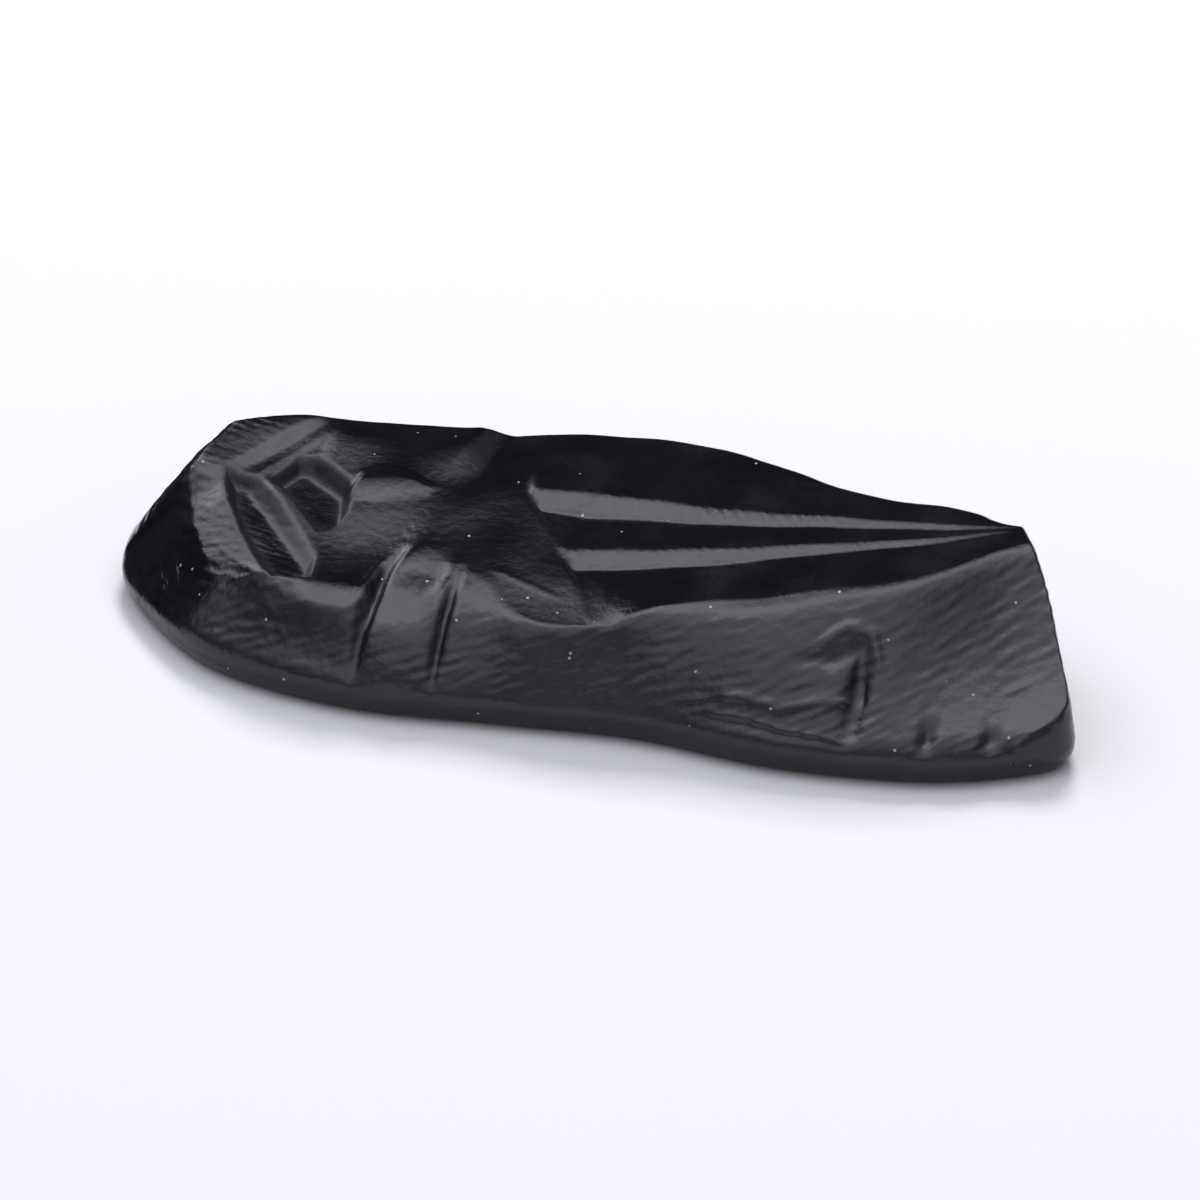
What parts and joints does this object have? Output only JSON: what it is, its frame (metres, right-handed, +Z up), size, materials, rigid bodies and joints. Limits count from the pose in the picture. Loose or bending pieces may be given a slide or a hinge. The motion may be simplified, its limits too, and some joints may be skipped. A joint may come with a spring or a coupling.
{
  "type": "salted licorice boat",
  "caption": "Moulded salted licorice candy in the form of a small boat: pointed bow with lapped planks, a smooth coaming and a rounded stern cockpit, on a flat base.",
  "frame": {"origin": "middle of the flat base, under the middle of the bounding box", "axes": "+X towards the bow, +Y to port, +Z up from the flat base"},
  "size_m": [0.0378, 0.0152, 0.0066],
  "materials": {
    "licorice": "near-black licorice with an oiled gloss"
  },
  "bodies": {
    "root": {"licorice_boat": "licorice"}
  },
  "joints": []
}
